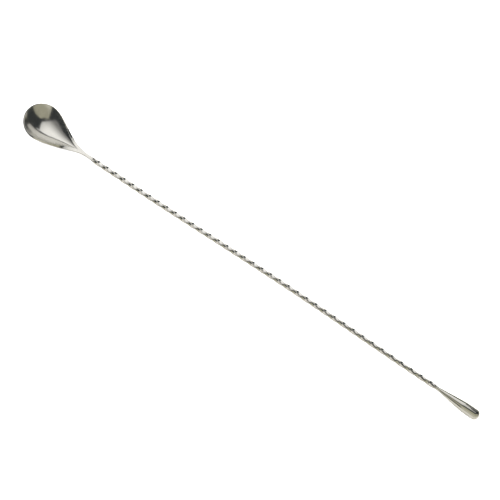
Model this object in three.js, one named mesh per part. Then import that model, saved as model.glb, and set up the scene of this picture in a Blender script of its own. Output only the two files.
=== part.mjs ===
// Bar spoon: a stamped bowl with a tapered neck, a twisted square stem and a drop-shaped weight, welded in line.
// Millimetres. +X runs from the bowl to the weight, +Z is up, and the origin is on the table under the middle.
// The bowl's belly and the weight both rest on the table, which leaves the stem level.
import * as THREE from "three";
import { ParametricGeometry } from "three/addons/geometries/ParametricGeometry.js";

// Whole spoon. Places along the spoon are distances from the bowl's tip.
const LENGTH = 400;
const BOWL_END = 59.6;
const WEIGHT_START = 361.6;
const WELD_LENGTH = 1.4; // between the pieces that it joins
const JOINT_GAP = 0.3; // between a weld and each of them
const WELD_CROWN = 0.12; // how far a weld stands proud at its middle

// Bowl outline, seen from above
const BOWL_HALF_WIDTH = 15.6;
const WIDEST_AT = 14.6;
const NECK_AT = 54; // where the neck is narrowest
const NECK_HALF_WIDTH = 1.3;
const SHOULDER_HANDLE = 11.1; // how far the flank keeps the bowl's direction
const NECK_HANDLE = 12.4; // and how far it keeps the neck's

// Bowl profile, seen from the side: heights are above the stem's axis
const RIM_RISE = 6.85;
const RIM_RISE_AT_TIP = 7.7;
const RIM_LEVEL_AT = 13; // the rim falls from the tip to here, and faster towards the neck
const RIM_LOW_AT = 45; // and reaches the neck's top face here
const NECK_TOP = 1.05;
const NECK_BOTTOM = -1.15;
const DEEPEST_AT = 21;
const BELLY_END = 53;
const BELLY_FLAT = 0.2; // how much of the belly's lowest point is worn flat
const TIP_EDGE = 1.1; // height of the rim's edge at the tip
const TIP_FULLNESS = 2; // above 2, the belly turns up more sharply at the tip
const SECTION_FULLNESS = 2.5; // the same for the bowl's cross-section
const HOLLOW_FULLNESS = 2.15; // for the hollow's, over its widest part
const HOLLOW_FULLNESS_AT_NECK = 1.8; // and at its narrow end
const BAR_FULLNESS = 7; // and for the neck's, which is almost square
const WALL = 1.2;
const HOLLOW_END = 47;
const EDGE_SPREAD = 0.9; // width of the rim's edge, seen from above
const EDGE_DROP = 0.9; // how far its outer corner lies below its inner one, on the flanks
const EDGE_DROP_AT_TIP = 0.5;

// Stem
const STEM_SIZE = 3.1; // across the flats
const STEM_CORNER = 0.42; // corner chamfer
const QUARTER_TURN_AT_BOWL = 7.5; // length of a quarter turn of the twist
const QUARTER_TURN_AT_WEIGHT = 8.63;
const LOOSENS_FROM = 160;
const LOOSENS_TO = 335;
const TWIST_START_ANGLE = THREE.MathUtils.degToRad(27);
const BOW = 1.33; // sideways bow of the stem, from drawing and twisting it
const BOW_CENTRE = 229;
const BOW_REACH = 128;

// Weight
const WEIGHT_RADIUS = 4.05;
const WEIGHT_START_RADIUS = 1.5;
const WEIGHT_CONE_START = 364.8;
const WEIGHT_CONE_END = 385.5;
const WEIGHT_CONE_RADIUS = 3.85; // at the cone's thick end
const WEIGHT_CYLINDER_START = 391;
const WEIGHT_DOME = 3.4; // length of the domed end
const WEIGHT_LEAN = THREE.MathUtils.degToRad(-1.35); // sideways, as it was welded on

// Fineness of the faceted surfaces
const SECTION_STEPS = 8; // from the middle of the bowl's section to its rim
const TIP_STATIONS = 8;
const FLANK_STATIONS = 11;
const SHANK_STATIONS = 5;
const TIP_START = 0.01; // the first section, just inside the outline's end
const STEPS_PER_QUARTER_TURN = 4;
const WEIGHT_SIDES = 28;
const WELD_SIDES = 16;
const DOME_STEPS = 5;
const FLANK_SAMPLES = 200;

const AXIS_HEIGHT = WEIGHT_RADIUS * Math.cos(Math.PI / WEIGHT_SIDES);
const STEM_START = BOWL_END + WELD_LENGTH;
const STEM_END = WEIGHT_START - WELD_LENGTH;

// 0 to 1 with level ends, as t goes from 0 to 1.
function ease(t) {
  const c = THREE.MathUtils.clamp(t, 0, 1);
  return (1 - Math.cos(Math.PI * c)) / 2;
}

// A closed solid lofted through rings of points: pointAt(ring, step) gives a point of a ring, and both ends
// are closed flat. Rings run along the solid, and steps run round it.
function loft(ringCount, stepCount, pointAt) {
  const lastRing = ringCount - 1;
  const centreOf = (ring) => {
    const sum = new THREE.Vector3();
    for (let step = 0; step < stepCount; step++) sum.add(pointAt(ring, step));
    return sum.divideScalar(stepCount);
  };
  const ends = [centreOf(0), centreOf(lastRing)];
  const surface = (u, v, target) => {
    const step = Math.round(u * stepCount) % stepCount;
    const ring = Math.round(v * (ringCount + 1)) - 1;
    if (ring < 0) target.copy(ends[0]);
    else if (ring > lastRing) target.copy(ends[1]);
    else target.copy(pointAt(ring, step));
  };
  return new ParametricGeometry(surface, stepCount, ringCount + 1);
}

function steel(name, color, roughness) {
  return new THREE.MeshStandardMaterial({ name, color, roughness, metalness: 1 });
}

// A turned solid with its axis along X, from [place, radius] points that start and end on the axis.
function turned(profile, sides) {
  const points = profile.map(([at, radius]) => new THREE.Vector2(radius, at));
  const lathe = new THREE.LatheGeometry(points, sides, Math.PI / sides);
  return lathe.rotateZ(-Math.PI / 2);
}

// ---- Bowl ----

const flank = new THREE.CubicBezierCurve(
  new THREE.Vector2(WIDEST_AT, BOWL_HALF_WIDTH),
  new THREE.Vector2(WIDEST_AT + SHOULDER_HANDLE, BOWL_HALF_WIDTH),
  new THREE.Vector2(NECK_AT - NECK_HANDLE, NECK_HALF_WIDTH),
  new THREE.Vector2(NECK_AT, NECK_HALF_WIDTH),
).getPoints(FLANK_SAMPLES);

function halfWidth(at) {
  if (at <= WIDEST_AT) {
    const share = (WIDEST_AT - at) / WIDEST_AT;
    return BOWL_HALF_WIDTH * Math.sqrt(Math.max(0, 1 - share * share));
  }
  if (at >= NECK_AT) {
    const widening = ease((at - NECK_AT) / (BOWL_END - NECK_AT));
    return THREE.MathUtils.lerp(NECK_HALF_WIDTH, STEM_SIZE / 2, widening);
  }
  const next = flank.findIndex((p) => p.x >= at);
  const [a, b] = [flank[Math.max(next - 1, 0)], flank[Math.max(next, 1)]];
  return THREE.MathUtils.mapLinear(at, a.x, b.x, a.y, b.y);
}

function rimHeight(at) {
  if (at < RIM_LEVEL_AT) {
    const share = (RIM_LEVEL_AT - at) / RIM_LEVEL_AT;
    return RIM_RISE - (RIM_RISE - RIM_RISE_AT_TIP) * share * share;
  }
  const fall = ease((at - RIM_LEVEL_AT) / (RIM_LOW_AT - RIM_LEVEL_AT));
  return THREE.MathUtils.lerp(RIM_RISE, NECK_TOP, fall);
}

function bellyHeight(at) {
  const lowest = -AXIS_HEIGHT - BELLY_FLAT;
  if (at < DEEPEST_AT) {
    const share = (DEEPEST_AT - at) / DEEPEST_AT;
    const tip = RIM_RISE_AT_TIP - TIP_EDGE;
    return lowest + (tip - lowest) * share ** TIP_FULLNESS;
  }
  return THREE.MathUtils.lerp(lowest, NECK_BOTTOM, ease((at - DEEPEST_AT) / (BELLY_END - DEEPEST_AT)));
}

// How much of the section is open at this place: 1 over the bowl and 0 from the end of the hollow.
function openness(at) {
  const share = (at - DEEPEST_AT) / (HOLLOW_END - DEEPEST_AT);
  return 1 - THREE.MathUtils.clamp(share, 0, 1) ** 3;
}

function edgeDrop(at) {
  const share = THREE.MathUtils.clamp(at / RIM_LEVEL_AT, 0, 1);
  return THREE.MathUtils.lerp(EDGE_DROP_AT_TIP, EDGE_DROP, share) * openness(at);
}

function hollowFullness(at) {
  const narrowing = ease((at - WIDEST_AT) / DEEPEST_AT);
  return THREE.MathUtils.lerp(HOLLOW_FULLNESS, HOLLOW_FULLNESS_AT_NECK, narrowing);
}

function bowlStations() {
  const stations = [];
  for (let i = 0; i <= TIP_STATIONS; i++) {
    stations.push(WIDEST_AT * (1 - Math.cos((i / TIP_STATIONS) * (Math.PI / 2))));
  }
  for (let i = 1; i <= FLANK_STATIONS; i++) {
    stations.push(THREE.MathUtils.lerp(WIDEST_AT, HOLLOW_END, i / FLANK_STATIONS));
  }
  for (let i = 1; i <= SHANK_STATIONS; i++) {
    stations.push(THREE.MathUtils.lerp(HOLLOW_END, BOWL_END, i / SHANK_STATIONS));
  }
  stations[0] = TIP_START;
  return stations;
}

// One point of the bowl's section. Steps go under the bowl from one rim to the other, then back over the inside.
function bowlPoint(at, step) {
  const across = 2 * SECTION_STEPS;
  const outside = step <= across;
  const fraction = outside ? step / across : (2 * across + 1 - step) / across;
  const side = Math.sin((fraction - 0.5) * Math.PI);
  const rim = rimHeight(at);
  const width = halfWidth(at);
  if (outside) {
    const bar = ease((at - DEEPEST_AT) / (NECK_AT - DEEPEST_AT));
    const fullness = THREE.MathUtils.lerp(SECTION_FULLNESS, BAR_FULLNESS, bar);
    const outerRim = rim - edgeDrop(at);
    const depth = (outerRim - bellyHeight(at)) * (1 - Math.abs(side) ** fullness);
    return new THREE.Vector3(at, side * width, Math.max(outerRim - depth, -AXIS_HEIGHT));
  }
  const innerWidth = Math.max(width - EDGE_SPREAD, 0) * openness(at);
  const innerDepth = Math.max(rim - bellyHeight(at) - WALL, 0) * openness(at);
  const hollow = innerDepth * (1 - Math.abs(side) ** hollowFullness(at));
  return new THREE.Vector3(at, side * innerWidth, rim - hollow);
}

function makeBowl() {
  const stations = bowlStations();
  const stepCount = 4 * SECTION_STEPS + 2;
  return loft(stations.length, stepCount, (ring, step) => bowlPoint(stations[ring], step));
}

// ---- Stem ----

// Length of a quarter turn of the twist at this place.
function quarterTurn(at) {
  const share = ease((at - LOOSENS_FROM) / (LOOSENS_TO - LOOSENS_FROM));
  return THREE.MathUtils.lerp(QUARTER_TURN_AT_BOWL, QUARTER_TURN_AT_WEIGHT, share);
}

function stemOffset(at) {
  const away = Math.abs(at - BOW_CENTRE) / BOW_REACH;
  return BOW * (1 - ease(away));
}

// Places and angles along the stem, closer together where the twist is tighter.
function stemStations() {
  const stations = [];
  let at = STEM_START;
  let angle = TWIST_START_ANGLE;
  while (at < STEM_END) {
    stations.push({ at, angle });
    const step = Math.min(quarterTurn(at) / STEPS_PER_QUARTER_TURN, STEM_END - at);
    angle += ((step / quarterTurn(at)) * Math.PI) / 2;
    at += step;
  }
  stations.push({ at: STEM_END, angle });
  return stations;
}

function stemSection() {
  const half = STEM_SIZE / 2;
  const flat = half - STEM_CORNER;
  const corner = [new THREE.Vector2(half, -flat), new THREE.Vector2(half, flat)];
  const section = [];
  for (let quarter = 0; quarter < 4; quarter++) {
    for (const p of corner) section.push(p.clone().rotateAround(new THREE.Vector2(), (quarter * Math.PI) / 2));
  }
  return section;
}

function makeStem() {
  const stations = stemStations();
  const section = stemSection();
  return loft(stations.length, section.length, (ring, step) => {
    const { at, angle } = stations[ring];
    const p = section[step].clone().rotateAround(new THREE.Vector2(), angle);
    return new THREE.Vector3(at, p.x + stemOffset(at), p.y);
  });
}

// ---- Weight and welds ----

function makeWeight() {
  const profile = [
    [WEIGHT_START, 0],
    [WEIGHT_START, WEIGHT_START_RADIUS],
    [WEIGHT_CONE_START, WEIGHT_START_RADIUS],
    [WEIGHT_CONE_END, WEIGHT_CONE_RADIUS],
    [WEIGHT_CYLINDER_START, WEIGHT_RADIUS],
  ];
  const domeStart = LENGTH - WEIGHT_DOME;
  for (let i = 0; i <= DOME_STEPS; i++) {
    const turn = (i / DOME_STEPS) * (Math.PI / 2);
    profile.push([domeStart + WEIGHT_DOME * Math.sin(turn), WEIGHT_RADIUS * Math.cos(turn)]);
  }
  return turned(profile, WEIGHT_SIDES).translate(-WEIGHT_START, 0, 0);
}

// A butt weld's slug of filler, slightly proud of the pieces on both sides.
function makeWeld(from, to, radius) {
  const middle = (from + to) / 2;
  const crown = radius + WELD_CROWN;
  const profile = [
    [from, 0],
    [from, radius],
    [middle, crown],
    [to, radius],
    [to, 0],
  ];
  return turned(profile, WELD_SIDES);
}

const bowlSteel = steel("satin_steel_bowl", 0xb9b8b0, 0.28);
const stemSteel = steel("polished_steel_stem", 0xc4c3bc, 0.16);
const weightSteel = steel("polished_steel_weight", 0xbdbbaf, 0.2);
const weldSteel = steel("ground_weld", 0xb2b0a8, 0.35);

const weldRadius = STEM_SIZE / 2;
const parts = [
  ["bowl", makeBowl(), bowlSteel],
  ["neck_weld", makeWeld(BOWL_END + JOINT_GAP, STEM_START - JOINT_GAP, weldRadius), weldSteel],
  ["stem", makeStem(), stemSteel],
  ["weight_weld", makeWeld(STEM_END + JOINT_GAP, WEIGHT_START - JOINT_GAP, weldRadius), weldSteel],
  ["drop_weight", makeWeight(), weightSteel],
];

const barSpoon = new THREE.Group();
for (const [name, geometry, material] of parts) {
  const mesh = new THREE.Mesh(geometry, material);
  mesh.name = name;
  barSpoon.add(mesh);
}
const dropWeight = barSpoon.getObjectByName("drop_weight");
dropWeight.position.x = WEIGHT_START;
dropWeight.rotation.z = WEIGHT_LEAN;
barSpoon.position.set(-LENGTH / 2, 0, AXIS_HEIGHT);

export default barSpoon;
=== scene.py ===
"""Bar spoon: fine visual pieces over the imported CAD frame, procedural steel, and a small studio.

Metres, +Z up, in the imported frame. Shapes are worked out in millimetres from the CAD part's dimensions, with
places along the spoon measured from the bowl's tip, and are moved into the frame as they become meshes.
"""

import math

import bmesh
import bpy
import numpy as np
from mathutils import Matrix, Vector


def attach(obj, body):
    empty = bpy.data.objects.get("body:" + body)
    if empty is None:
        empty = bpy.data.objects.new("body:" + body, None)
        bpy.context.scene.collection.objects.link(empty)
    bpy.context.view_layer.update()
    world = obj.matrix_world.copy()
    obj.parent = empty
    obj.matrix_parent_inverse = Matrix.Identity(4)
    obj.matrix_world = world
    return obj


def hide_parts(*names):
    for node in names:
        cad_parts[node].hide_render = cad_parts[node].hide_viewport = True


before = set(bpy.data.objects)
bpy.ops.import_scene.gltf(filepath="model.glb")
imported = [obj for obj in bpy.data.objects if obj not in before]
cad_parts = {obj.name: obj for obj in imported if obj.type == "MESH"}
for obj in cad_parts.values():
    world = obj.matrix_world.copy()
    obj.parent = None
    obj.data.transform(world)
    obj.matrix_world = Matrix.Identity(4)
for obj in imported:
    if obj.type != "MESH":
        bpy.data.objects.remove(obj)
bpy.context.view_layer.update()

MM = 0.001
SAME_POINT = 2e-7
TINY = 1e-9  # keeps a division by nothing away

# ---- Dimensions of the spoon, in mm ----

LENGTH = 400.0
BOWL_END = 59.6
STEM_START = 61.0
STEM_END = 360.2
WEIGHT_START = 361.6
AXIS_HEIGHT = 4.0245  # of the stem above the table

BOWL_HALF_WIDTH = 15.6
WIDEST_AT = 14.6
NECK_AT = 54.0
NECK_HALF_WIDTH = 1.3
SHOULDER_HANDLE = 11.1
NECK_HANDLE = 12.4

RIM_RISE = 6.85
RIM_RISE_AT_TIP = 7.7
RIM_LEVEL_AT = 13.0
RIM_LOW_AT = 45.0
NECK_TOP = 1.05
NECK_BOTTOM = -1.15
DEEPEST_AT = 21.0
BELLY_END = 53.0
BELLY_FLAT = 0.2
TIP_EDGE = 1.1
TIP_FULLNESS = 2.0
SECTION_FULLNESS = 2.5
BAR_FULLNESS = 7.0
WALL = 1.2
HOLLOW_END = 47.0
HOLLOW_FULLNESS = 2.15
HOLLOW_FULLNESS_AT_NECK = 1.8
EDGE_SPREAD = 0.9  # the rim's edge is cut square to the sloping wall: its width in plan
EDGE_DROP = 0.9  # and how far its outer corner lies below its inner one
EDGE_DROP_AT_TIP = 0.5
LIP_ROUNDING = 0.16

STEM_SIZE = 3.1
STEM_CORNER = 0.42
QUARTER_TURN_AT_BOWL = 7.5
QUARTER_TURN_AT_WEIGHT = 8.63
LOOSENS_FROM = 160.0
LOOSENS_TO = 335.0
TWIST_START_ANGLE = math.radians(27)
BOW = 1.33
BOW_CENTRE = 229.0
BOW_REACH = 128.0

WELD_SWELL = 0.03

WEIGHT_PROFILE = [  # places and radii
    (361.6, 1.5),
    (364.8, 1.5),
    (385.5, 3.85),
    (391.0, 4.02),
    (400.0, 4.02),
]
WEIGHT_DOME = 3.4
WEIGHT_BLEND = 2.2  # how far each corner of the profile is blended
WEIGHT_LEAN = math.radians(-1.35)

# Fineness of the meshes
TIP_STATIONS = 30
FLANK_STATIONS = 56
SHANK_STATIONS = 12
SECTION_STEPS = 30
FILLET_STEPS = 4
EDGE_SHARES = (0, 0.08, 0.5, 0.92, 1)  # points across the rim's edge, close to its corners
STEM_STEP = 0.45
WELD_RINGS = 9
WELD_SIDES = 64
WEIGHT_SIDES = 96
WEIGHT_RINGS = 64
DOME_RINGS = 14
BLEND_STEPS = 41
STEPS_PER_SIDE = 12


def ease(t):
    """0 to 1 with level ends, as t goes from 0 to 1."""
    return (1 - np.cos(np.pi * np.clip(t, 0, 1))) / 2


def lerp(a, b, t):
    return a + (b - a) * t


# ---- Meshes ----


def solid_from_rings(name, rings):
    """A mesh through rings of points in mm, each ring closed, with its ends filled."""
    rings = np.array(rings, float)
    count, steps = rings.shape[:2]
    points = (rings + np.array([-LENGTH / 2, 0, AXIS_HEIGHT])) * MM
    shape = bmesh.new()
    verts = [[shape.verts.new(p) for p in ring] for ring in points]
    for k in range(count - 1):
        for j in range(steps):
            following = (j + 1) % steps
            shape.faces.new((verts[k][j], verts[k][following], verts[k + 1][following], verts[k + 1][j]))
    shape.faces.new(list(reversed(verts[0])))
    shape.faces.new(verts[-1])
    bmesh.ops.remove_doubles(shape, verts=shape.verts, dist=SAME_POINT)
    bmesh.ops.dissolve_degenerate(shape, edges=shape.edges, dist=SAME_POINT / 20)
    bmesh.ops.recalc_face_normals(shape, faces=shape.faces)
    mesh = bpy.data.meshes.new(name)
    shape.to_mesh(mesh)
    shape.free()
    for face in mesh.polygons:
        face.use_smooth = len(face.vertices) <= 4
    piece = bpy.data.objects.new(name, mesh)
    bpy.context.collection.objects.link(piece)
    return piece


def stand_in_for(piece, node, material):
    piece.data.materials.append(material)
    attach(piece, "root")
    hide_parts(node)


# ---- Bowl ----


def outline():
    """Points of one side of the bowl's outline in plan, from its tip to its end, as (place, half width)."""
    turn = np.linspace(0, np.pi / 2, TIP_STATIONS + 1)
    tip = np.stack([WIDEST_AT * (1 - np.cos(turn)), BOWL_HALF_WIDTH * np.sin(turn)], axis=1)
    t = np.linspace(0, 1, FLANK_STATIONS + 1)[1:, None]
    handles = [
        np.array([WIDEST_AT, BOWL_HALF_WIDTH]),
        np.array([WIDEST_AT + SHOULDER_HANDLE, BOWL_HALF_WIDTH]),
        np.array([NECK_AT - NECK_HANDLE, NECK_HALF_WIDTH]),
        np.array([NECK_AT, NECK_HALF_WIDTH]),
    ]
    flank = (
        (1 - t) ** 3 * handles[0]
        + 3 * (1 - t) ** 2 * t * handles[1]
        + 3 * (1 - t) * t**2 * handles[2]
        + t**3 * handles[3]
    )
    at = np.linspace(NECK_AT, BOWL_END, SHANK_STATIONS + 1)[1:]
    width = lerp(NECK_HALF_WIDTH, STEM_SIZE / 2, ease((at - NECK_AT) / (BOWL_END - NECK_AT)))
    shank = np.stack([at, width], axis=1)
    return np.concatenate([tip, flank, shank])


def rim_height(at):
    share = np.clip((RIM_LEVEL_AT - at) / RIM_LEVEL_AT, 0, None)
    tip = RIM_RISE - (RIM_RISE - RIM_RISE_AT_TIP) * share**2
    flank = lerp(RIM_RISE, NECK_TOP, ease((at - RIM_LEVEL_AT) / (RIM_LOW_AT - RIM_LEVEL_AT)))
    return np.where(at < RIM_LEVEL_AT, tip, flank)


def edge_drop(at):
    return lerp(EDGE_DROP_AT_TIP, EDGE_DROP, np.clip(at / RIM_LEVEL_AT, 0, 1)) * openness(at)


def belly_height(at):
    lowest = -AXIS_HEIGHT - BELLY_FLAT
    tip = RIM_RISE_AT_TIP - TIP_EDGE
    share = np.clip((DEEPEST_AT - at) / DEEPEST_AT, 0, 1)
    front = lowest + (tip - lowest) * share**TIP_FULLNESS
    back = lerp(lowest, NECK_BOTTOM, ease((at - DEEPEST_AT) / (BELLY_END - DEEPEST_AT)))
    return np.where(at < DEEPEST_AT, front, back)


def hollow_floor(at):
    """Height of the lowest line of the hollow."""
    lowest = -AXIS_HEIGHT - BELLY_FLAT + WALL
    share = np.clip((DEEPEST_AT - at) / (DEEPEST_AT - EDGE_SPREAD), 0, 1)
    front = lowest + (rim_height(EDGE_SPREAD) - lowest) * share**TIP_FULLNESS
    back = rim_height(at) - (rim_height(at) - belly_height(at) - WALL) * openness(at)
    return np.where(at < DEEPEST_AT, front, back)


def openness(at):
    share = np.clip((at - DEEPEST_AT) / (HOLLOW_END - DEEPEST_AT), 0, 1)
    return 1 - share**3


def section_fullness(at):
    return lerp(SECTION_FULLNESS, BAR_FULLNESS, ease((at - DEEPEST_AT) / (NECK_AT - DEEPEST_AT)))


def hollow_fullness(at):
    narrowing = ease((at - WIDEST_AT) / DEEPEST_AT)
    return float(lerp(HOLLOW_FULLNESS, HOLLOW_FULLNESS_AT_NECK, narrowing))


def section_wall(at, width, rim, depth, fullness, side):
    """Points of a hanging section: side runs from -1 at one rim to 1 at the other."""
    drop = 1 - np.abs(side) ** fullness
    return np.stack([np.full_like(side, at), side * width, rim - depth * drop], axis=1)


def fillet(start, corner, end):
    t = np.linspace(0, 1, FILLET_STEPS + 1)[1:-1, None]
    return (1 - t) ** 2 * start + 2 * (1 - t) * t * corner + t**2 * end


def bowl_ring(at, width, inner_at, inner_width):
    """One closed section: under the bowl, over one lip, back through the hollow and over the other lip."""
    rim = float(rim_height(at) - edge_drop(at))
    inner_rim = float(rim_height(inner_at))
    depth = rim - float(belly_height(at))
    inner_depth = max(inner_rim - float(hollow_floor(inner_at)), 0)
    corner = np.array([at, width, rim])
    inner_corner = np.array([inner_at, inner_width, inner_rim])
    lip = np.linalg.norm(inner_corner - corner)
    cut = min(LIP_ROUNDING, lip / 2)
    fullness = float(section_fullness(at))
    outer_reach = 1 - min(cut / max(math.hypot(width, fullness * depth), TINY), 0.5)
    inner_fullness = hollow_fullness(at)
    inner_slope = math.hypot(inner_width, inner_fullness * inner_depth)
    inner_cut = min(cut, 0.3 * inner_slope)
    inner_reach = 1 - (inner_cut / inner_slope if inner_slope > TINY else 0)
    steps = np.sin(np.linspace(-np.pi / 2, np.pi / 2, 2 * SECTION_STEPS + 1))
    under = section_wall(at, width, rim, depth, fullness, steps * outer_reach)
    under[:, 2] = np.maximum(under[:, 2], -AXIS_HEIGHT)
    inner_steps = -steps * inner_reach
    hollow = section_wall(inner_at, inner_width, inner_rim, inner_depth, inner_fullness, inner_steps)
    towards = (inner_corner - corner) / max(lip, TINY)
    top_start = corner + towards * cut
    top_end = inner_corner - towards * cut
    over = np.concatenate([
        fillet(under[-1], corner, top_start),
        [lerp(top_start, top_end, share) for share in EDGE_SHARES],
        fillet(top_end, inner_corner, hollow[0]),
    ])
    back_over = over[::-1] * np.array([1, -1, 1])
    return np.concatenate([under, over, hollow, back_over])


def make_bowl():
    plan = outline()
    along = np.gradient(plan, axis=0)
    outward = np.stack([-along[:, 1], along[:, 0]], axis=1)
    outward /= np.linalg.norm(outward, axis=1)[:, None]
    outward[0] = (-1, 0)
    rings = []
    for (at, width), (away, aside) in zip(plan, outward):
        inner_at = at - EDGE_SPREAD * away * float(openness(at))
        inner_width = max(width - EDGE_SPREAD * aside, 0) * float(openness(at))
        rings.append(bowl_ring(at, width, inner_at, inner_width))
    return solid_from_rings("bowl_fine", rings)


# ---- Stem and welds ----


def quarter_turn(at):
    loosening = ease((at - LOOSENS_FROM) / (LOOSENS_TO - LOOSENS_FROM))
    return lerp(QUARTER_TURN_AT_BOWL, QUARTER_TURN_AT_WEIGHT, loosening)


def stem_offset(at):
    return BOW * (1 - ease(abs(at - BOW_CENTRE) / BOW_REACH))


def bar_section(size, corner, corner_steps=5, flat_steps=5):
    """A rounded square bar's section, as (y, z) points anticlockwise."""
    half = size / 2
    centre = half - corner
    points = []
    for quarter in range(4):
        turn = quarter * np.pi / 2
        rotate = np.array([[math.cos(turn), -math.sin(turn)], [math.sin(turn), math.cos(turn)]])
        for t in np.linspace(-1, 1, flat_steps + 1)[:-1]:
            points.append(rotate @ np.array([half, t * centre]))
        for t in np.linspace(0, np.pi / 2, corner_steps + 1)[:-1]:
            points.append(rotate @ np.array([centre + corner * math.cos(t), centre + corner * math.sin(t)]))
    return np.array(points)


def stem_stations():
    places = np.linspace(STEM_START, STEM_END, int((STEM_END - STEM_START) / STEM_STEP) + 1)
    angles = [TWIST_START_ANGLE]
    for a, b in zip(places, places[1:]):
        angles.append(angles[-1] + (b - a) / quarter_turn((a + b) / 2) * np.pi / 2)
    return places, np.array(angles)


def turned_section(section, at, angle, across=0.0):
    c, s = math.cos(angle), math.sin(angle)
    y = section[:, 0] * c - section[:, 1] * s + across
    z = section[:, 0] * s + section[:, 1] * c
    return np.stack([np.full(len(section), at), y, z], axis=1)


def make_stem():
    section = bar_section(STEM_SIZE, STEM_CORNER)
    places, angles = stem_stations()
    rings = [turned_section(section, at, angle, stem_offset(at)) for at, angle in zip(places, angles)]
    return solid_from_rings("stem_fine", rings), angles[-1]


def make_weld(name, start, end, start_section, end_section):
    """A ground butt weld: it carries one piece's section into the other's, a little proud in the middle."""
    rings = []
    for share in np.linspace(0, 1, WELD_RINGS):
        at = lerp(start, end, share)
        section = lerp(start_section, end_section, ease(share))
        swell = 1 + WELD_SWELL * math.sin(math.pi * share)
        rings.append(np.column_stack([np.full(len(section), at), section * swell]))
    return solid_from_rings(name, rings)


def by_angle(section, count):
    """The section's points at even angles round the axis, from a dense closed polygon."""
    dense = []
    for a, b in zip(section, np.roll(section, -1, axis=0)):
        dense += [lerp(a, b, t) for t in np.linspace(0, 1, STEPS_PER_SIDE, endpoint=False)]
    dense = np.array(dense)
    angle = np.unwrap(np.arctan2(dense[:, 1], dense[:, 0]))
    if angle[-1] < angle[0]:
        dense, angle = dense[::-1], angle[::-1]
    angle = np.concatenate([angle - 2 * np.pi, angle, angle + 2 * np.pi])
    radius = np.tile(np.hypot(dense[:, 0], dense[:, 1]), 3)
    wanted = np.linspace(0, 2 * np.pi, count, endpoint=False)
    wanted = wanted + 2 * np.pi * np.round((angle.mean() - wanted.mean()) / (2 * np.pi))
    out = np.interp(wanted, angle, radius)
    return np.stack([out * np.cos(wanted), out * np.sin(wanted)], axis=1)


def make_neck_weld():
    """From the bowl's last section to the stem's first."""
    last_half_width = outline()[-1][1]
    neck = bowl_ring(BOWL_END, last_half_width, BOWL_END, 0.0)[:, 1:]
    bar = turned_section(bar_section(STEM_SIZE, STEM_CORNER), 0, TWIST_START_ANGLE)[:, 1:]
    sections = by_angle(neck, WELD_SIDES), by_angle(bar, WELD_SIDES)
    return make_weld("neck_weld_fine", BOWL_END, STEM_START, *sections)


def make_weight_weld(end_angle):
    """From the stem's last section to the weight's round end."""
    bar = turned_section(bar_section(STEM_SIZE, STEM_CORNER), 0, end_angle)[:, 1:]
    around = np.linspace(0, 2 * np.pi, WELD_SIDES, endpoint=False)
    circle = weight_radius(WEIGHT_START) * np.stack([np.cos(around), np.sin(around)], axis=1)
    sections = by_angle(bar, WELD_SIDES), by_angle(circle, WELD_SIDES)
    return make_weld("weight_weld_fine", STEM_END, WEIGHT_START, *sections)


# ---- Weight ----


def weight_radius(at):
    places = np.array([p for p, _ in WEIGHT_PROFILE])
    radii = np.array([r for _, r in WEIGHT_PROFILE])
    window = np.linspace(-1, 1, BLEND_STEPS) * WEIGHT_BLEND
    weights = 1 - np.abs(window) / (WEIGHT_BLEND * 1.02)
    return float(np.average(np.interp(at + window, places, radii), weights=weights))


def make_weight():
    dome_start = LENGTH - WEIGHT_DOME
    profile = [(at, weight_radius(at)) for at in np.linspace(WEIGHT_START, dome_start, WEIGHT_RINGS)]
    last = profile[-1][1]
    for turn in np.linspace(0, np.pi / 2, DOME_RINGS + 1)[1:-1]:
        profile.append((dome_start + WEIGHT_DOME * math.sin(turn), last * math.cos(turn)))
    rings = []
    around = np.linspace(0, 2 * np.pi, WEIGHT_SIDES, endpoint=False)
    lean = np.array([
        [math.cos(WEIGHT_LEAN), -math.sin(WEIGHT_LEAN), 0],
        [math.sin(WEIGHT_LEAN), math.cos(WEIGHT_LEAN), 0],
        [0, 0, 1],
    ])
    for at, radius in profile:
        along = np.full(WEIGHT_SIDES, at - WEIGHT_START)
        ring = np.stack([along, radius * np.cos(around), radius * np.sin(around)], axis=1)
        rings.append(ring @ lean.T + np.array([WEIGHT_START, 0, 0]))
    return solid_from_rings("drop_weight_fine", rings)


# ---- Materials ----


def steel_material(name):
    material = bpy.data.materials.new(name)
    material.use_nodes = True
    material.node_tree.nodes["Principled BSDF"].inputs["Metallic"].default_value = 1
    return material


def grain(material, scale, detail=4.0, distortion=0.0, shift=(0, 0, 0)):
    """Noise from 0 to 1 in the piece's own space, with its cycles per metre along X, Y and Z."""
    nodes, links = material.node_tree.nodes, material.node_tree.links
    place = nodes.new("ShaderNodeTexCoord")
    stretch = nodes.new("ShaderNodeMapping")
    stretch.inputs["Scale"].default_value = scale
    stretch.inputs["Location"].default_value = shift
    noise = nodes.new("ShaderNodeTexNoise")
    noise.inputs["Scale"].default_value = 1
    noise.inputs["Detail"].default_value = detail
    noise.inputs["Distortion"].default_value = distortion
    links.new(place.outputs["Object"], stretch.inputs["Vector"])
    links.new(stretch.outputs["Vector"], noise.inputs["Vector"])
    return noise.outputs["Fac"]


def between(material, value, low, high, start=0.3, end=0.7):
    """The value carried from its range start to end into the range low to high."""
    span = material.node_tree.nodes.new("ShaderNodeMapRange")
    span.inputs["From Min"].default_value = start
    span.inputs["From Max"].default_value = end
    span.inputs["To Min"].default_value = low
    span.inputs["To Max"].default_value = high
    material.node_tree.links.new(value, span.inputs["Value"])
    return span.outputs["Result"]


def combined(material, operation, first, second):
    node = material.node_tree.nodes.new("ShaderNodeMath")
    node.operation = operation
    material.node_tree.links.new(first, node.inputs[0])
    material.node_tree.links.new(second, node.inputs[1])
    return node.outputs["Value"]


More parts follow.
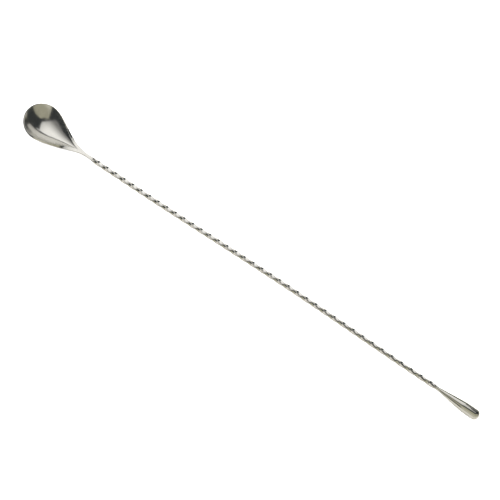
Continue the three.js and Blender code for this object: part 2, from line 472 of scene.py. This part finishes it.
def two_tone(material, value, dark, light):
    """Base colour from dark to light as the value goes from 0 to 1."""
    nodes, links = material.node_tree.nodes, material.node_tree.links
    mix = nodes.new("ShaderNodeMix")
    mix.data_type = "RGBA"
    mix.inputs["A"].default_value = (*dark, 1)
    mix.inputs["B"].default_value = (*light, 1)
    links.new(value, mix.inputs["Factor"])
    links.new(mix.outputs["Result"], nodes["Principled BSDF"].inputs["Base Color"])


def rough_and_bumped(material, roughness, height, strength, relief):
    """Roughness from a value, and a normal from a height whose full range is relief metres deep."""
    nodes, links = material.node_tree.nodes, material.node_tree.links
    shader = nodes["Principled BSDF"]
    links.new(roughness, shader.inputs["Roughness"])
    bump = nodes.new("ShaderNodeBump")
    bump.inputs["Strength"].default_value = strength
    bump.inputs["Distance"].default_value = relief
    links.new(height, bump.inputs["Height"])
    links.new(bump.outputs["Normal"], shader.inputs["Normal"])


def satin_steel():
    """The bowl: a fine grain along it, a few longer scratches, and faint smears from wiping."""
    material = steel_material("satin_steel")
    brushing = grain(material, (220, 2600, 2600), detail=6)
    scratches = grain(material, (70, 1300, 1300), detail=2, distortion=0.4, shift=(3, 1, 2))
    smears = grain(material, (55, 75, 75), detail=3, distortion=1.2, shift=(1, 5, 4))
    fine = between(material, brushing, 0.10, 0.17)
    wiped = between(material, smears, 0.0, 0.05, 0.4, 0.65)
    scratched = between(material, scratches, 0.0, 0.08, 0.64, 0.7)
    roughness = combined(material, "ADD", combined(material, "ADD", fine, wiped), scratched)
    lined = between(material, brushing, 0.7, 1)
    smeared = between(material, smears, 1, 0.6)
    tone = combined(material, "MULTIPLY", lined, smeared)
    two_tone(material, tone, (0.62, 0.61, 0.58), (0.77, 0.765, 0.735))
    rough_and_bumped(material, roughness, brushing, 0.12, 0.00002)
    return material


def twisted_steel():
    """The stem: bright, with drawing lines along it and small dull marks where the twisting tool gripped."""
    material = steel_material("twisted_steel")
    drawing = grain(material, (130, 2400, 2400), detail=5, shift=(2, 0, 7))
    marks = grain(material, (420, 420, 420), detail=3, distortion=0.5, shift=(6, 2, 1))
    fine = between(material, drawing, 0.02, 0.045)
    dull = between(material, marks, 0.0, 0.07, 0.58, 0.72)
    two_tone(material, between(material, marks, 1, 0, 0.5, 0.75), (0.66, 0.65, 0.61), (0.8, 0.795, 0.77))
    rough_and_bumped(material, combined(material, "ADD", fine, dull), drawing, 0.06, 0.00001)
    return material


def turned_steel():
    """The weight: rings left by turning under the polish, and faint handling marks."""
    material = steel_material("turned_steel")
    rings = grain(material, (2600, 3, 3), detail=4, shift=(0, 3, 1))
    marks = grain(material, (160, 160, 160), detail=4, distortion=0.8, shift=(9, 1, 3))
    fine = between(material, rings, 0.03, 0.08)
    dull = between(material, marks, 0.0, 0.07, 0.52, 0.72)
    two_tone(material, between(material, rings, 0.55, 1), (0.66, 0.655, 0.6), (0.8, 0.795, 0.75))
    rough_and_bumped(material, combined(material, "ADD", fine, dull), rings, 0.07, 0.00001)
    return material


def ground_steel():
    """The welds: coarser scratches round them from the grinding belt, and a trace of heat tint."""
    material = steel_material("ground_steel")
    belt = grain(material, (2400, 160, 160), detail=5, shift=(4, 4, 0))
    tint = grain(material, (500, 300, 300), detail=2, shift=(2, 8, 5))
    two_tone(material, between(material, tint, 1, 0.2), (0.6, 0.56, 0.49), (0.76, 0.75, 0.72))
    rough_and_bumped(material, between(material, belt, 0.14, 0.3), belt, 0.25, 0.00002)
    return material


# ---- Studio ----

# Floor, world and room. The paper is overexposed in the picture, and dimmer where the steel reflects it.
FLOOR_HALF = 30
FLOOR_COLOUR = (0.9, 0.9, 0.9)
FLOOR_IN_STEEL = (0.275, 0.265, 0.24)
FLOOR_ROUGHNESS = 0.9
FLOOR_CLEARANCE = 0.00002  # of the floor that the steel reflects over the one that the camera sees
WORLD_STRENGTH = 3.2
ROOM_RADIUS = 9
ROOM_COLOUR = (0.037, 0.041, 0.042)

# Cards, all level and at one height, with their corners in plan
CARD_HEIGHT = 0.65
SOFTBOX_COLOUR = (1.0, 0.985, 0.955)
SOFTBOX_HOT = (-0.3, 0.45)  # where it is brightest
SOFTBOX_STRETCH = 1.3  # how much faster it fades along X than along Y
SOFTBOX_CORE = 0.2
SOFTBOX_REACH = 1.35
SOFTBOX_BRIGHT = 1.12
SOFTBOX_DIM = 0.25
SOFTBOX_CORNERS = [
    (0.265, 0.04),
    (0.265, 0.3),
    (0.22, 0.6),
    (0.22, 0.87),
    (-1.0, 0.9),
    (-0.92, -0.58),
    (-0.77, -1.3),
]
END_CARD_CORNERS = [(0.22, 0.87), (0.5, 0.95), (0.5, 1.05), (0.15, 1.05), (0.15, 0.87)]
WALL_COLOUR = (0.62, 0.6, 0.5)
WALL_CORNERS = [(8, -1.1), (8, -8), (-0.03, -8), (-0.03, -1.1)]
REFLECTOR_COLOUR = (0.42, 0.405, 0.31)
REFLECTOR_CORNERS = [
    (5.0, 0.0),
    (5.0, -1.1),
    (-0.03, -1.1),
    (-0.03, -0.5),
    (0.07, -0.42),
    (0.25, -0.28),
    (0.475, 0.02),
    (1.4, 0.27),
    (2.4, 0.3),
]

# Camera
ELEVATION = math.radians(62)
ROLL = math.radians(33.55)
LENS = 180.0
SENSOR = 36.0
DISTANCE = 1.838
AIM = Vector((-0.0075, 0.00972, 0.004))


def make_plane(name, height, albedo):
    mesh = bpy.data.meshes.new(name)
    sides = [(-1, -1), (1, -1), (1, 1), (-1, 1)]
    corners = [(x * FLOOR_HALF, y * FLOOR_HALF, height) for x, y in sides]
    mesh.from_pydata(corners, [], [(0, 1, 2, 3)])
    plane = bpy.data.objects.new(name, mesh)
    bpy.context.collection.objects.link(plane)
    material = bpy.data.materials.new(name)
    material.use_nodes = True
    shader = material.node_tree.nodes["Principled BSDF"]
    shader.inputs["Base Color"].default_value = (*albedo, 1)
    shader.inputs["Roughness"].default_value = FLOOR_ROUGHNESS
    shader.inputs["Specular IOR Level"].default_value = 0.0
    mesh.materials.append(material)
    return plane


def make_floor():
    """The pale floor, and the same floor as the steel sees it."""
    floor = make_plane("pale_floor", 0, FLOOR_COLOUR)
    floor.visible_glossy = False
    mirrored = make_plane("floor_in_the_steel", FLOOR_CLEARANCE, FLOOR_IN_STEEL)
    only_in_reflections(mirrored)


def only_in_reflections(obj):
    """The studio's cards are seen in the steel, and neither by the camera nor by the floor."""
    obj.visible_camera = False
    obj.visible_diffuse = False
    obj.visible_shadow = False


def glow_material(name, colour):
    material = bpy.data.materials.new(name)
    material.use_nodes = True
    nodes = material.node_tree.nodes
    nodes.clear()
    glow = nodes.new("ShaderNodeEmission")
    out = nodes.new("ShaderNodeOutputMaterial")
    glow.inputs["Color"].default_value = (*colour, 1)
    material.node_tree.links.new(glow.outputs["Emission"], out.inputs["Surface"])
    return material


def card(name, corners, height, material):
    """A level card over the table."""
    mesh = bpy.data.meshes.new(name)
    mesh.from_pydata([(x, y, height) for x, y in corners], [], [tuple(range(len(corners)))])
    obj = bpy.data.objects.new(name, mesh)
    bpy.context.collection.objects.link(obj)
    mesh.materials.append(material)
    only_in_reflections(obj)
    return obj


def softbox_material():
    """Brightest over the middle and fading towards its edges, as a softbox's diffuser does."""
    material = glow_material("softbox_cloth", SOFTBOX_COLOUR)
    nodes, links = material.node_tree.nodes, material.node_tree.links
    glow = nodes["Emission"]
    place = nodes.new("ShaderNodeTexCoord")
    from_hot = nodes.new("ShaderNodeMapping")
    from_hot.inputs["Scale"].default_value = (SOFTBOX_STRETCH, 1, 1)
    from_hot.inputs["Location"].default_value = (
        -SOFTBOX_STRETCH * SOFTBOX_HOT[0],
        -SOFTBOX_HOT[1],
        -CARD_HEIGHT,
    )
    links.new(place.outputs["Object"], from_hot.inputs["Vector"])
    far = nodes.new("ShaderNodeVectorMath")
    far.operation = "LENGTH"
    links.new(from_hot.outputs["Vector"], far.inputs[0])
    fade = nodes.new("ShaderNodeMapRange")
    fade.interpolation_type = "SMOOTHSTEP"
    fade.inputs["From Min"].default_value = SOFTBOX_CORE
    fade.inputs["From Max"].default_value = SOFTBOX_REACH
    fade.inputs["To Min"].default_value = SOFTBOX_BRIGHT
    fade.inputs["To Max"].default_value = SOFTBOX_DIM
    links.new(far.outputs["Value"], fade.inputs["Value"])
    links.new(fade.outputs["Result"], glow.inputs["Strength"])
    return material


def make_room():
    """The unlit studio beyond the cards."""
    shape = bmesh.new()
    bmesh.ops.create_uvsphere(shape, u_segments=48, v_segments=24, radius=ROOM_RADIUS)
    mesh = bpy.data.meshes.new("dark_room")
    shape.to_mesh(mesh)
    shape.free()
    room = bpy.data.objects.new("dark_room", mesh)
    bpy.context.collection.objects.link(room)
    mesh.materials.append(glow_material("dark_room", ROOM_COLOUR))
    only_in_reflections(room)


def make_cards():
    card("softbox", SOFTBOX_CORNERS, CARD_HEIGHT, softbox_material())
    card("end_card", END_CARD_CORNERS, CARD_HEIGHT, glow_material("end_card", SOFTBOX_COLOUR))
    card("far_wall", WALL_CORNERS, CARD_HEIGHT, glow_material("far_wall", WALL_COLOUR))
    card("olive_reflector", REFLECTOR_CORNERS, CARD_HEIGHT, glow_material("olive_cloth", REFLECTOR_COLOUR))


def make_world():
    world = bpy.data.worlds.new("studio")
    bpy.context.scene.world = world
    world.use_nodes = True
    background = world.node_tree.nodes["Background"]
    background.inputs["Color"].default_value = (1, 1, 1, 1)
    background.inputs["Strength"].default_value = WORLD_STRENGTH


def make_camera():
    data = bpy.data.cameras.new("camera")
    camera = bpy.data.objects.new("camera", data)
    bpy.context.collection.objects.link(camera)
    data.lens = LENS
    data.sensor_width = SENSOR
    back = Vector((0, -math.cos(ELEVATION), math.sin(ELEVATION)))
    up = Vector((0, math.sin(ELEVATION), math.cos(ELEVATION)))
    right = Vector((1, 0, 0))
    rolled_right = right * math.cos(ROLL) + up * math.sin(ROLL)
    rolled_up = up * math.cos(ROLL) - right * math.sin(ROLL)
    turn = Matrix((rolled_right, rolled_up, back)).transposed().to_4x4()
    camera.matrix_world = Matrix.Translation(AIM + back * DISTANCE) @ turn
    bpy.context.scene.camera = camera


def make_spoon():
    stand_in_for(make_bowl(), "bowl", satin_steel())
    stem, end_angle = make_stem()
    stand_in_for(stem, "stem", twisted_steel())
    weld_steel = ground_steel()
    stand_in_for(make_neck_weld(), "neck_weld", weld_steel)
    stand_in_for(make_weight_weld(end_angle), "weight_weld", weld_steel)
    stand_in_for(make_weight(), "drop_weight", turned_steel())


make_spoon()
make_floor()
make_world()
make_room()
make_cards()
make_camera()
bpy.context.scene.view_settings.view_transform = "Standard"
